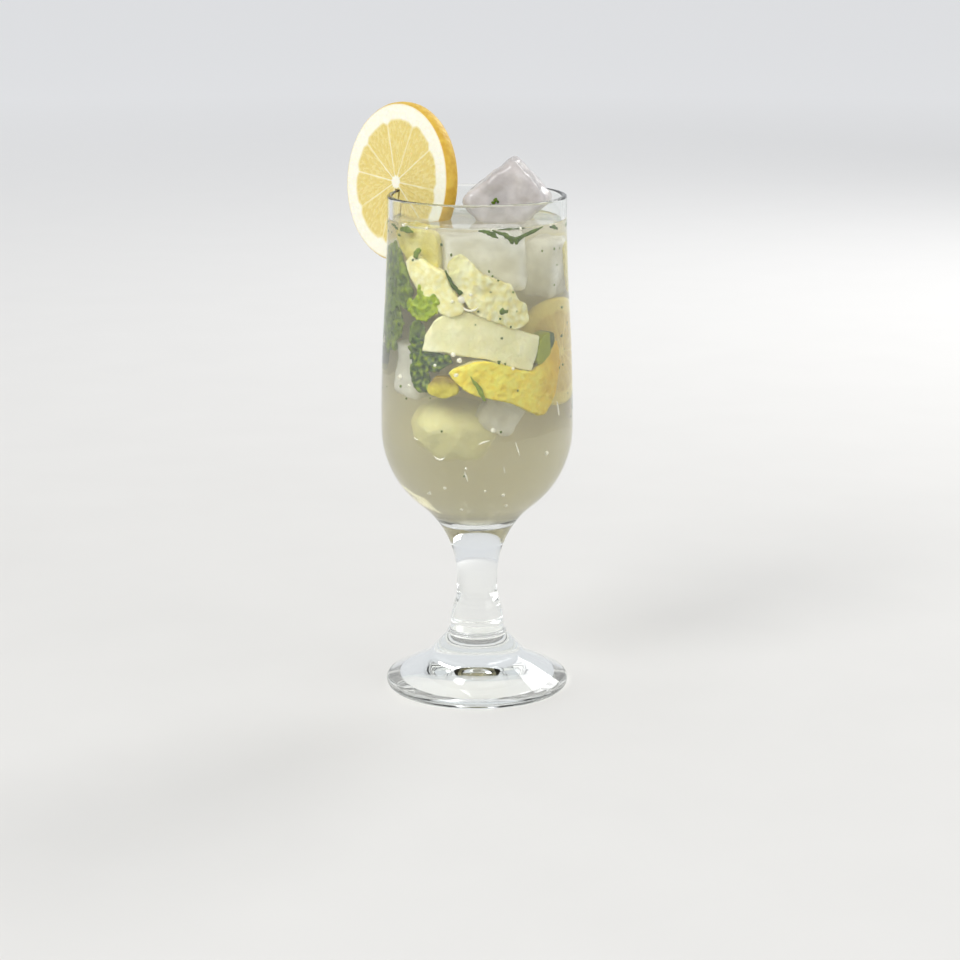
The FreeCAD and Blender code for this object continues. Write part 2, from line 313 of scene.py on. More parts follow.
class Shader:
    """A material's nodes, with short calls that add and join them."""

    def __init__(self, name):
        self.material = bpy.data.materials.new(name)
        self.material.use_nodes = True
        self.tree = self.material.node_tree
        self.tree.nodes.clear()
        self.output = self.add("OutputMaterial")

    def add(self, kind, inputs=None, **settings):
        """A node with its settings, its input values and the sockets that feed its inputs."""
        made = self.tree.nodes.new("ShaderNode" + kind)
        for key, value in settings.items():
            setattr(made, key, value)
        for key, value in (inputs or {}).items():
            if isinstance(value, bpy.types.NodeSocket):
                self.tree.links.new(value, made.inputs[key])
            else:
                made.inputs[key].default_value = value
        return made

    def place(self):
        """Object coordinates in millimetres."""
        coordinates = self.add("TexCoord").outputs["Object"]
        return self.add("Mapping", {"Vector": coordinates, "Scale": (1 / MM, 1 / MM, 1 / MM)}).outputs["Vector"]

    def zone(self):
        return self.add("Attribute", attribute_name=ZONE).outputs["Fac"]

    def noise(self, scale, detail=3.0):
        inputs = {"Vector": self.place(), "Scale": scale, "Detail": detail}
        return self.add("TexNoise", inputs).outputs["Fac"]

    def cells(self, scale):
        return self.add("TexVoronoi", {"Vector": self.place(), "Scale": scale}).outputs["Distance"]

    def spread(self, value, low, high, start=0.0, end=1.0):
        """Maps a value from one range to another, held at the ends."""
        inputs = {"Value": value, "From Min": low, "From Max": high, "To Min": start, "To Max": end}
        return self.add("MapRange", inputs).outputs["Result"]

    def mix(self, share, first, second):
        """Two colours mixed."""
        first, second = ((*value, 1.0) if isinstance(value, tuple) else value for value in (first, second))
        return self.add("Mix", {0: share, 6: first, 7: second}, data_type="RGBA").outputs[2]

    def bump(self, height, depth, strength=1.0):
        """A bump of this depth in millimetres."""
        inputs = {"Height": height, "Distance": depth * MM, "Strength": strength}
        return self.add("Bump", inputs).outputs["Normal"]

    def blend(self, share, first, second):
        """Two shaders mixed."""
        return self.add("MixShader", {0: share, 1: first, 2: second}).outputs["Shader"]

    def lets_lamps_through(self, surface, tint):
        """The surface, which lamps shine through as through thin coloured film."""
        path = self.add("LightPath").outputs["Is Shadow Ray"]
        film = self.add("BsdfTransparent", {"Color": (*tint, 1.0)}).outputs["BSDF"]
        return self.blend(path, surface, film)

    def finish(self, surface, volume=None):
        self.tree.links.new(surface, self.output.inputs["Surface"])
        if volume:
            self.tree.links.new(volume, self.output.inputs["Volume"])
        return self.material


def tone(red, green, blue):
    """A colour given in display values from 0 to 255, as linear light."""
    channels = []
    for value in (red, green, blue):
        share = value / 255
        channels.append(share / 12.92 if share <= 0.04045 else ((share + 0.055) / 1.055) ** 2.4)
    return tuple(channels)


# ---- materials

GLASS_INDEX = 1.5
WATER_INDEX = 1.333
MILK_DENSITY = 45.0  # of scattering, in one over metres
STAIN_DENSITY = 16.0  # of absorption, in one over metres
STAIN = (0.8, 0.66, 0.0)  # what absorption leaves of red, green and blue


def clear_glass():
    """Soda glass with a faint ripple, which lamps shine through."""
    shader = Shader("clear_glass")
    ripple = shader.bump(shader.noise(0.12, 2.0), 0.02)
    inputs = {"Color": (0.985, 0.992, 0.988, 1.0), "IOR": GLASS_INDEX, "Normal": ripple}
    body = shader.add("BsdfGlass", inputs).outputs["BSDF"]
    return shader.finish(shader.lets_lamps_through(body, (0.97, 0.975, 0.97)))


def cloudy_drink():
    """Lime juice and soda: clear at its surface and milky in its depth."""
    shader = Shader("cloudy_drink")
    inputs = {"Color": (1.0, 1.0, 1.0, 1.0), "IOR": WATER_INDEX}
    clear = shader.add("BsdfGlass", inputs).outputs["BSDF"]
    surface = shader.lets_lamps_through(clear, (1.0, 1.0, 1.0))
    milk = {"Color": (1.0, 1.0, 1.0, 1.0), "Density": MILK_DENSITY, "Anisotropy": 0.2}
    stain = {"Color": (*STAIN, 1.0), "Density": STAIN_DENSITY}
    scattered = shader.add("VolumeScatter", milk).outputs["Volume"]
    absorbed = shader.add("VolumeAbsorption", stain).outputs["Volume"]
    volume = shader.add("AddShader", {0: scattered, 1: absorbed}).outputs["Shader"]
    return shader.finish(surface, volume)


LEMON_TONES = {
    "pulp": (tone(222, 198, 106), tone(234, 217, 144)),
    "pith": (tone(253, 251, 238), tone(245, 240, 210)),
    "rind": (tone(224, 188, 70), tone(208, 164, 46)),
    "dark_rind": tone(206, 156, 50),
}
SUNK_TONES = {
    "pulp": (tone(210, 178, 36), tone(224, 196, 68)),
    "pith": (tone(240, 224, 122), tone(232, 210, 96)),
    "rind": (tone(242, 228, 128), tone(234, 214, 104)),
    "dark_rind": tone(176, 140, 44),
}
WEDGE_TONES = {
    "pulp": (tone(232, 220, 140), tone(244, 236, 180)),
    "pith": (tone(244, 236, 182), tone(236, 224, 156)),
    "rind": (tone(255, 242, 100), tone(255, 224, 36)),
    "dark_rind": tone(220, 172, 12),
}
LIME_TONES = {
    "pulp": (tone(248, 240, 172), tone(253, 249, 212)),
    "pith": (tone(170, 176, 8), tone(148, 160, 4)),
    "rind": (tone(84, 106, 8), tone(36, 64, 4)),
    "dark_rind": tone(60, 86, 6),
}
PULP_TONES = {
    "pulp": (tone(242, 230, 146), tone(254, 250, 208)),
    "pith": (tone(244, 240, 190), tone(228, 222, 150)),
    "rind": (tone(222, 208, 62), tone(200, 184, 30)),
    "dark_rind": tone(146, 122, 16),
}


def citrus(name, tones):
    """Zone 0 is pulp, 1 membrane and pith, 2 rind and 3 darker rind. The first three have two tones each."""
    shader = Shader(name)
    zone = shader.zone()
    grain = shader.cells(0.75)
    pulp = shader.mix(shader.spread(zone, 0.0, PULP_TOP), *tones["pulp"])
    pith = shader.mix(shader.noise(0.5), *tones["pith"])
    peel = shader.mix(shader.spread(shader.noise(0.35), 0.35, 0.65), *tones["rind"])
    rind = shader.mix(shader.spread(zone, 2.0, 3.0), peel, tones["dark_rind"])
    flesh = shader.mix(shader.spread(zone, PULP_TOP, 0.85), pulp, pith)
    colour = shader.mix(shader.spread(zone, 1.3, 1.7), flesh, rind)
    inputs = {
        "Base Color": colour,
        "Roughness": shader.spread(zone, 0.0, 1.0, 0.22, 0.5),
        "Normal": shader.bump(grain, 0.22, 0.7),
        "Subsurface Weight": 0.25,
        "Subsurface Radius": (1.0, 0.8, 0.4),
        "Subsurface Scale": 2 * MM,
    }
    surface = shader.add("BsdfPrincipled", inputs).outputs["BSDF"]
    return shader.finish(surface)


def frosty_ice(name, see_through, white, grey):
    """Ice with white clouds in it. see_through is the clear share of its surface."""
    shader = Shader(name)
    cloud = shader.spread(shader.noise(0.09, 4.0), 0.35, 0.65)
    colour = shader.mix(cloud, white, grey)
    inputs = {
        "Base Color": colour,
        "Roughness": 0.28,
        "Subsurface Weight": 0.6,
        "Subsurface Radius": (1.0, 1.0, 1.0),
        "Subsurface Scale": 6 * MM,
        "Coat Weight": 0.6,
        "Coat Roughness": 0.08,
        "Normal": shader.bump(shader.noise(0.3, 3.0), 0.4, 0.7),
    }
    frost = shader.add("BsdfPrincipled", inputs).outputs["BSDF"]
    clear = shader.add("BsdfTransparent", {"Color": (0.98, 0.99, 1.0, 1.0)}).outputs["BSDF"]
    share = shader.spread(cloud, 0.0, 1.0, see_through - 0.15, see_through + 0.15)
    surface = shader.blend(share, frost, clear)
    return shader.finish(shader.lets_lamps_through(surface, (0.75, 0.76, 0.78)))


def mint_leaf():
    """Zone runs from 0, a dark leaf, to 1, a young pale one. Veins are a little higher. In crinkled and crumpled
    pieces it also carries painted highlight and painted shade.
    """
    shader = Shader("mint_leaf")
    mottle = shader.spread(shader.noise(0.5, 4.0), 0.3, 0.7)
    dark = shader.mix(mottle, tone(84, 126, 6), tone(26, 56, 2))
    light = shader.mix(mottle, tone(206, 222, 24), tone(156, 188, 6))
    blade = shader.mix(shader.zone(), dark, light)
    inputs = {"Base Color": blade, "Roughness": 0.4, "Normal": shader.bump(mottle, 0.2, 0.5)}
    surface = shader.add("BsdfPrincipled", inputs).outputs["BSDF"]
    glow = shader.add("BsdfTranslucent", {"Color": blade}).outputs["BSDF"]
    return shader.finish(shader.blend(0.3, surface, glow))


def air_bubble():
    """A bubble in milky drink, drawn as a bright bead: its white colour is a painted reflection of the milk all
    round, and its emission a painted glow.
    """
    shader = Shader("air_bubble")
    fleck = shader.spread(shader.noise(1.2, 2.0), 0.3, 0.7)
    colour = shader.mix(fleck, tone(250, 247, 232), tone(232, 226, 204))
    inputs = {
        "Base Color": colour,
        "Roughness": 0.06,
        "Coat Weight": 1.0,
        "Coat Roughness": 0.03,
        # painted glow: the bead gives off a little light of its own
        "Emission Color": (1.0, 0.98, 0.9, 1.0),
        "Emission Strength": 0.2,
    }
    bead = shader.add("BsdfPrincipled", inputs).outputs["BSDF"]
    clear = shader.add("BsdfTransparent").outputs["BSDF"]
    return shader.finish(shader.blend(0.25, bead, clear))


FLOOR_NEAR = 300.0  # how far from the glass the floor begins to get paler
FLOOR_AWAY = 2600.0  # and where it is palest


def pale_floor():
    """Pale card, paler far away so that no horizon shows."""
    shader = Shader("pale_floor")
    fleck = shader.noise(0.02, 2.0)
    near = shader.mix(fleck, tone(219, 217, 213), tone(215, 213, 209))
    away = shader.add("VectorMath", {0: shader.place()}, operation="LENGTH").outputs["Value"]
    colour = shader.mix(shader.spread(away, FLOOR_NEAR, FLOOR_AWAY), near, tone(250, 249, 248))
    surface = shader.add("BsdfPrincipled", {"Base Color": colour, "Roughness": 0.85}).outputs["BSDF"]
    return shader.finish(surface)


# ---- the drink

INTO_WALL = 0.25
DRINK_STEPS = 160
MENISCUS_RISE = 0.36  # how high the surface climbs at the wall
MENISCUS_WIDTH = 1.5  # how far in it starts to climb
MENISCUS_RINGS = 8


def drink_profile():
    """The drink's half outline: up the wall, over the raised edge and level to the axis."""
    profile = [(0.0, FLOOR_HEIGHT - INTO_WALL)]
    height = FLOOR_HEIGHT
    while height < LEVEL:
        profile.append((wall_radius(height) + INTO_WALL, height))
        height += 0.6 if height < FLOOR_HEIGHT + 12 else 1.8
    edge = wall_radius(LEVEL)
    profile.append((edge + INTO_WALL, LEVEL + MENISCUS_RISE))
    for step in range(MENISCUS_RINGS + 1):
        out = step / MENISCUS_RINGS
        rise = MENISCUS_RISE * (1 - out) ** 2
        profile.append((edge - 0.02 - out * MENISCUS_WIDTH, LEVEL + rise))
    profile.append((0.0, LEVEL))
    return profile


def make_drink():
    heap = Heap()
    heap.add(turned(drink_profile(), DRINK_STEPS))
    heap.piece("cloudy_drink", cloudy_drink(), "drink", "drink")


# ---- lemon

LEMON_RADIUS = 28.5
LEMON_THICK = 5.5
LEMON_YAW = -48.6
LEMON_LEAN = 84.0
SLIT_GAP = 0.25
BAND_STEPS = 180
SEGMENTS = 10


def round_noise(angle, spread, level):
    """Noise that closes after a full turn."""
    return noise.noise(Vector((math.cos(angle) * spread, math.sin(angle) * spread, level)))


class Wheel:
    """A slice across a lemon: pulp in segments, the membranes between, pith and rind."""

    def __init__(self, radius, thickness, seed):
        self.radius = radius
        self.thickness = thickness
        self.core = radius * 0.075
        self.pulp_radius = radius * 0.795
        pick = random.Random(seed)
        even = 2 * math.pi / SEGMENTS
        self.spokes = [even * (index + pick.uniform(-0.16, 0.16)) for index in range(SEGMENTS)]
        self.seed = seed

    def from_membrane(self, angle, radius):
        """How far a point of the face is from the nearest membrane."""
        gaps = [abs((angle - spoke + math.pi) % (2 * math.pi) - math.pi) for spoke in self.spokes]
        return radius * math.sin(min(min(gaps), math.pi / 2))

    def pulp_share(self, angle, radius):
        """1 in the pulp and 0 in membrane, core and pith. Segments have round corners."""
        thin = 0.4 + 0.3 * round_noise(angle, 5, radius * 0.12)
        side = thin + (1 - thin) * smoothstep(0.0, 0.4, self.from_membrane(angle, radius))
        corner = 1 - smoothstep(0.2, 2.6, self.from_membrane(angle, radius))
        wave = 0.55 * round_noise(angle, 3, self.seed)
        outside = 1 - smoothstep(-0.9, 0.9, radius - (self.pulp_radius + wave - corner))
        core = self.core * (1 + 0.35 * round_noise(angle, 2, 4.0))
        return side * outside * smoothstep(-0.3, 0.5, radius - core)

    def grain(self, angle, radius):
        """Juice cells as long drops that point at the core, from 0 to 1."""
        drops = round_noise(angle, 13 + 0.35 * radius, radius * 0.33 + self.seed)
        fine = round_noise(angle, radius * 1.4, self.seed)
        return min(max(0.55 + 0.6 * drops + 0.3 * fine, 0.0), 1.0)

    def face_row(self, shape, tissue, side, radius, steps):
        """One ring of a cut face, a little sunk in the pulp, with each point's tissue."""
        row = []
        for step in range(steps):
            angle = 2 * math.pi * step / steps
            pulp = self.pulp_share(angle, radius)
            grain = self.grain(angle, radius)
            lift = pulp * (0.28 * grain - 0.26)
            height = side * (self.thickness / 2 + lift)
            vertex = shape.verts.new((radius * math.cos(angle), radius * math.sin(angle), height))
            rind = 0.45 * smoothstep(self.radius - 1.8, self.radius - 0.4, radius)
            vertex[tissue] = 1 - pulp * (1 - PULP_TOP * grain) + rind
            row.append(vertex)
        return row

    def rind_row(self, shape, tissue, share, steps):
        """One ring of the pitted, bulging peel. share runs from 1 at one face to -1 at the other."""
        row = []
        for step in range(steps):
            angle = 2 * math.pi * step / steps
            pit = round_noise(angle, 22, share * 4)
            reach = self.radius + 0.5 * (1 - share * share) - 0.5 * abs(share) ** 6 + 0.09 * pit
            height = share * self.thickness / 2
            vertex = shape.verts.new((reach * math.cos(angle), reach * math.sin(angle), height))
            vertex[tissue] = 2.0
            row.append(vertex)
        return row

    def shape(self, rings, steps):
        """The whole slice as one closed mesh, with each point's tissue."""
        shape = bmesh.new()
        tissue = shape.verts.layers.float.new(ZONE)
        sides = []
        for side in (1, -1):
            middle = shape.verts.new((0.0, 0.0, side * self.thickness / 2))
            middle[tissue] = 1.0
            radii = [(self.radius - 0.4) * number / rings for number in range(1, rings + 1)]
            sides.append((middle, [self.face_row(shape, tissue, side, radius, steps) for radius in radii]))
        peel = [self.rind_row(shape, tissue, share, steps) for share in (0.9, 0.6, 0.2, -0.2, -0.6, -0.9)]
        for middle, rows in sides:
            for step in range(steps):
                shape.faces.new((middle, rows[0][step], rows[0][(step + 1) % steps]))
            stitch(shape, rows)
        stitch(shape, [sides[0][1][-1], *peel, sides[1][1][-1]])
        bmesh.ops.recalc_face_normals(shape, faces=shape.faces)
        return shape


def wall_band():
    """A ring as thick as the glass wall and the gap beside it, up to the rim."""
    tree = node_tree("glass")
    inner, outer = [], []
    height = LEMON_LOW.z - 5
    while height < GLASS_HEIGHT:
        outward = tree.ray_cast(Vector((0.0, 0.0, height)), Vector((0.0, -1.0, 0.0)))[0]
        inward = tree.ray_cast(Vector((0.0, -FAR_OUT, height)), Vector((0.0, 1.0, 0.0)))[0]
        inner.append((outward.xy.length - SLIT_GAP, height))
        outer.append((inward.xy.length + SLIT_GAP, height))
        height += 2.0
    inner.append((inner[-1][0], GLASS_HEIGHT + SLIT_GAP))
    outer.append((outer[-1][0], GLASS_HEIGHT + SLIT_GAP))
    shape = bmesh.new()
    rings = [ring(shape, radius, height, BAND_STEPS) for radius, height in inner + outer[::-1]]
    stitch(shape, rings + rings[:1])
    bmesh.ops.recalc_face_normals(shape, faces=shape.faces)
    return shape


def make_lemon():
    """The slice on the rim, with the slit that the wall stands in."""
    shape = Wheel(LEMON_RADIUS, LEMON_THICK, 3).shape(64, 288)
    middle = (LEMON_LOW + LEMON_HIGH) / 2
    shape.transform(placed(middle, LEMON_YAW, LEMON_LEAN, "X"))
    mesh = bpy.data.meshes.new("band")
    band = wall_band()
    band.to_mesh(mesh)
    band.free()
    cutter = in_scene("band", mesh)
    cut = evaluated(shape, ("BOOLEAN", {"operation": "DIFFERENCE", "object": cutter, "solver": "EXACT"}))
    bpy.data.objects.remove(cutter)
    cut.transform(Matrix.Scale(MM, 4))
    mesh = bpy.data.meshes.new("lemon_wheel")
    cut.to_mesh(mesh)
    cut.free()
    mesh.shade_smooth()
    make_piece("lemon_wheel", mesh, citrus("lemon_wheel", LEMON_TONES), "lemon", "lemon_slice")


# ---- ice

ICE_SIZE = (25.0, 22.0, 20.5)
ICE_YAW = -6.0
ICE_TILT = -39.5
ICE_ROUNDING = 2.6
ICE_CUTS = 26
ICE_NARROWING = 0.05  # how much narrower the lower end is


def ice_block(size, seed):
    """A cube that has begun to melt: narrower at one end, with soft edges and hollows."""
    shape = rounded_block(size, ICE_ROUNDING, ICE_CUTS)
    for vertex in shape.verts:
        narrowing = 1 - ICE_NARROWING * (0.5 - vertex.co.z / size[2])
        vertex.co.x *= narrowing
        vertex.co.y *= narrowing
    roughen(shape, 1.1, 0.12, seed, 2)
    roughen(shape, 0.4, 0.36, seed + 1, 3)
    return shape


def make_floating_ice():
    """The cube that stands out of the drink, where CAD has it."""
    heap = Heap()
    place = placed((ICE_LOW + ICE_HIGH) / 2, ICE_YAW, ICE_TILT)
    heap.add(ice_block(ICE_SIZE, 5), lambda point: place @ point)
    frost = frosty_ice("floating_ice", 0.25, tone(220, 214, 210), tone(196, 188, 184))
    heap.piece("floating_ice", frost, "ice", "ice_cube")


# each cube: x, y, depth of its middle below the surface, size, yaw, tilt
SUNK_CUBES = (
    (2.2, -17.8, 13.2, (27.0, 12.5, 21.5), 6.0, -4.0),
    (20.5, -5.0, 16.5, (13.0, 14.0, 21.0), -8.0, 6.0),
    (-9.0, 13.0, 28.0, (22.0, 20.0, 19.0), -25.0, 24.0),
    (7.5, 17.0, 47.0, (20.0, 17.0, 19.0), 50.0, -14.0),
    (-18.5, -11.0, 53.0, (13.0, 12.0, 19.0), -55.0, 8.0),
    (7.5, -19.2, 67.0, (14.0, 10.0, 13.0), 15.0, 25.0),
    (-2.0, -9.0, 35.0, (20.0, 15.0, 18.0), 4.0, 5.0),
    (4.0, -5.5, 53.5, (20.0, 15.0, 15.0), -6.0, -4.0),
)


def make_sunk_ice():
    """The cubes below the surface: in front, at the back and in the middle."""
    heap = Heap()
    for number, (x, y, depth, size, yaw, tilt) in enumerate(SUNK_CUBES):
        place = placed((x, y, LEVEL - depth), yaw, tilt)
        heap.add(ice_block(size, 20 + number), lambda point: place @ point)
    frost = frosty_ice("sunk_ice", 0.22, tone(255, 255, 252), tone(242, 240, 232))
    heap.piece("sunk_ice", frost, "ice")


# ---- pieces that lie against the wall

WRAP = 31.0  # millimetres of outline to a radian round the wall
SLAB_CELL = 0.5  # the size of a slab's faces


def unrolled(outline):
    """(azimuth, depth) corners as points of a flat plate."""
    return [(math.radians(azimuth) * WRAP, -depth) for azimuth, depth in outline]


def against_wall(inset, flat=0.0, middle=0.0, half_width=0.0):
    """Wraps a flat plate onto the wall. flat is how far the piece keeps straight across its middle azimuth."""
    centre = math.radians(middle)
    chord = math.cos(math.radians(half_width))

    def place(point):
        radius = radius_inside(LEVEL + point.z, inset)
        angle = point.x / WRAP - centre
        side = (radius - point.y) * math.sin(angle)
        round_reach = (radius - point.y) * math.cos(angle)
        flat_reach = radius * chord - point.y
        reach = round_reach * (1 - flat) + min(flat_reach, round_reach) * flat
        x = reach * math.sin(centre) + side * math.cos(centre)
        y = -reach * math.cos(centre) + side * math.sin(centre)
        return Vector((x, y, LEVEL + point.z))

    return place


def slab(outline, thickness, bumps, seed, rounding, steps=1):
    """A plate of fruit with soft edges and an uneven skin. bumps are pairs of height and scale.

    With steps above 1 the outline passes smoothly through its corners."""
    corners = unrolled(outline)
    line = smooth_loop(corners, steps) if steps > 1 else corners
    shape = remeshed(plate(line, thickness), SLAB_CELL, rounding)
    for height, scale in bumps:
        roughen(shape, height, scale, seed, 2)
    return shape


def turned_round(outline, azimuth, lower=0.0):
    """The same outline further round the glass and lower."""
    return [(across + azimuth, depth + lower) for across, depth in outline]


# outlines are (azimuth, depth) corners, and each copy has an azimuth, how much lower it is and a seed; the photo
# shows the first copy, and the others fill the back
WEDGE = (
    (-18, 51), (-10, 48.5), (4, 46.5), (20, 48.5), (38, 51.5), (50, 44.5), (60, 41.5),
    (63, 51), (56, 61.5), (46, 68), (34, 65.5), (22, 62), (4, 59.5), (-8, 56.5),
)
WEDGE_THICK = 7.0
WEDGE_COPIES = ((0, 0, 1), (168, -14, 2))
PIT_CELL = 2.2  # the spacing of the pits in its peel
PIT_DEPTH = 0.6


def wedge_tissue(point, turn):
    """Rind on the side that faces the wall, darker and more orange to the right, with painted shade in the pits
    of its peel, then pith, then pulp.
    """
    dark_rind = smoothstep(17, 34, point.x - turn + 4 * noise.noise(point * 0.2))
    # painted shade: the peel is coloured darker in its pits
    dark_rind = min(dark_rind + 0.2 * (1 - smoothstep(0.1, 0.4, noise.voronoi(point / PIT_CELL)[0][0])), 1.0)
    return 2.0 + 0.8 * dark_rind - (1 + 0.8 * dark_rind) * smoothstep(0.9, 1.3, point.y) - smoothstep(2.4, 3.2, point.y)


def pitted(shape, depth, cell):
    """Presses small round pits into the surface, as the oil glands of a peel."""
    return displaced(shape, lambda point: -depth * (1 - smoothstep(0.0, 0.45, noise.voronoi(point / cell)[0][0])))


def cell_zone(point):
    """Paler and darker juice cells in torn pulp."""
    return PULP_TOP * min(max(0.5 + 0.9 * noise.noise(point * 0.55), 0.0), 1.0)


def make_wedges():
    """Lemon wedges with their peel to the wall: one in front and one behind."""
    heap = Heap()
    for azimuth, lower, seed in WEDGE_COPIES:
        outline = turned_round(WEDGE, azimuth, lower)
        shape = pitted(slab(outline, WEDGE_THICK, ((0.5, 0.12), (0.2, 0.6)), seed, 5, 2), PIT_DEPTH, PIT_CELL)
        turn = math.radians(azimuth) * WRAP
        heap.add(shape, against_wall(0.5, 0.12, 22 + azimuth, 40), lambda point: wedge_tissue(point, turn))
    heap.piece("lemon_wedges", citrus("lemon_wedges", WEDGE_TONES), "fruit")


SLAB = (
    (-37, 44), (-35, 38), (-29, 33), (-18, 29), (-4, 29.5), (8, 32), (28, 36), (44, 39),
    (41, 46), (37, 51.5), (21, 49.5), (8, 46.5), (-4, 45.5), (-22, 44),
)
SLAB_SKIN = ((43, 41), (50, 38.5), (58, 39), (55, 45), (45, 49), (40.5, 48))
SLAB_THICK = 8.0
SLAB_COPIES = ((0, 0, 3), (140, -12, 4), (-150, 8, 5))


def make_lime():
    """Lime cut across: a pale slab with its green skin at one end, and two more at the back."""
    heap = Heap()
    for azimuth, lower, seed in SLAB_COPIES:
        place = against_wall(0.8, 0.45, 3 + azimuth, 33)
        flesh = slab(turned_round(SLAB, azimuth, lower), SLAB_THICK, ((0.5, 0.16), (0.12, 0.6)), seed, 14)
        heap.add(flesh, place, smooth_zone)
        skin = slab(turned_round(SLAB_SKIN, azimuth, lower), SLAB_THICK * 0.9, ((0.25, 0.2),), seed, 5, 2)
        outer = math.radians(54 + azimuth) * WRAP
        heap.add(skin, place, lambda point: 1.0 + smoothstep(-1.6, 0.4, point.x - outer))
    heap.piece("lime_slabs", citrus("lime_slabs", LIME_TONES), "fruit")


CREAM_CHUNK = (
    (-74, 3), (-52, 1.8), (-38, 1.6), (-31, 3), (-28, 8), (-28, 13), (-30, 17), (-38, 18), (-50, 16), (-64, 10.5),
)
WHITE_CHUNK = (
    (-55, 13), (-46, 10.5), (-33, 13.5), (-22.5, 16), (-17, 21), (-10.5, 25.5), (-8, 29), (-14, 31),
    (-24, 30.5), (-33, 27), (-41, 24), (-49, 19),
)
PULP_CHUNK = (
    (-20, 15), (-19, 11.6), (-12, 9.2), (-2, 13), (5, 16.5), (15, 18.5), (23, 20), (28, 25), (34, 27.5),
    (36, 32.5), (26, 36), (15, 33.5), (2, 31), (-4, 28), (-9, 24.5), (-15, 20.5),
)
PULP_COPIES = ((0, 0, 6), (205, 6, 7))
BROWN_BLOB = ((-32, 59), (-30, 54), (-23, 52), (-14, 53.5), (-12, 58), (-20, 60))
PEEL_STRIP = ((78, 11), (86, 8), (95, 10), (97, 22), (90, 27), (82, 24))
LUMP_SIZE = (25.0, 23.0, 20.0)
LUMP_ROUNDING = 10.9
LUMP_PLACE = (-24.0, 72.5, 16.2)  # azimuth, depth and inset of its middle


def smooth_zone(point):
    """Flesh that was cut clean, with little difference between its cells."""
    return PULP_TOP * (0.6 + 0.4 * noise.noise(point * 0.2))


def cream_zone(point):
    """Greener flesh near the rind, in patches."""
    return 1.58 + 0.3 * noise.noise(point * 0.18)


def torn_zone(point, turn):
    """Pale cells, yellow at the upper left where the flesh was next to the peel."""
    yellow = 1 - smoothstep(-13, -1, point.x - turn + 0.6 * (-14 - point.z))
    return cell_zone(point) + (1.5 - cell_zone(point)) * yellow


def blob_zone(point):
    """Yellow below and brown above."""
    return 2.0 + smoothstep(-57, -53, point.z + 1.5 * noise.noise(point * 0.4))


def make_pulp():
    """Torn citrus flesh, with the juice cells standing out where it was torn."""
    heap = Heap()
    for azimuth, lower, seed in PULP_COPIES:
        turn = math.radians(azimuth) * WRAP
        for outline, thickness, bumps, seed_shift, rounding, inset, zone in (
            (PULP_CHUNK, 5.5, ((0.8, 0.24), (0.2, 0.6)), 0, 4, 0.9, lambda point: torn_zone(point, turn)),
            (WHITE_CHUNK, 5.0, ((0.6, 0.13), (0.12, 0.5)), 2, 8, 1.3, cell_zone),
            (CREAM_CHUNK, 4.5, ((0.6, 0.15), (0.15, 0.8)), 0, 8, 3.6, cream_zone),
        ):
            shape = slab(turned_round(outline, azimuth, lower), thickness, bumps, seed + seed_shift, rounding, 2)
            heap.add(shape, against_wall(inset), zone)
    heap.add(slab(PEEL_STRIP, 2.0, ((0.3, 0.3),), 8, 4, 3), against_wall(0.8), lambda point: 1.8)
    heap.add(slab(BROWN_BLOB, 5.0, ((0.4, 0.3),), 8, 6, 3), against_wall(0.9), blob_zone)
    lump = rounded_block(LUMP_SIZE, LUMP_ROUNDING, 24)
    roughen(lump, 2.2, 0.09, 9, 2)
    roughen(lump, 0.3, 0.45, 10, 2)
    middle = at_wall(*LUMP_PLACE)
    heap.add(lump, lambda point: point + middle, lambda point: 1.15)
    heap.piece("citrus_pulp", citrus("citrus_pulp", PULP_TONES), "fruit")


# each sunk slice: azimuth, depth and inset of its middle, radius, and how it leans in to its left
SUNK_SLICES = (
    (72.0, 47.0, 0.6, 19.0, 0.42),
    (-118.0, 26.0, 1.2, 16.0, 0.2),
    (168.0, 70.0, 1.2, 15.0, -0.25),
)
SLICE_THICK = 3.4


def make_sunk_slices():
    """Thin lemon slices that bend along the wall."""
    heap = Heap()
    for azimuth, depth, inset, radius, lean in SUNK_SLICES:
        across = math.radians(azimuth) * WRAP

        def place(point):
            leaning = abs(lean) * max(radius * 0.4 - point.x * math.copysign(1, lean), 0.0)
            onto = against_wall(inset + leaning)
            return onto(Vector((point.x + across, point.z + SLICE_THICK / 2, point.y - depth)))

        heap.add(Wheel(radius, SLICE_THICK, radius + azimuth).shape(34, 150), place)
    heap.piece("sunk_lemon_slices", citrus("sunk_lemon_slices", SUNK_TONES), "fruit")


# ---- mint


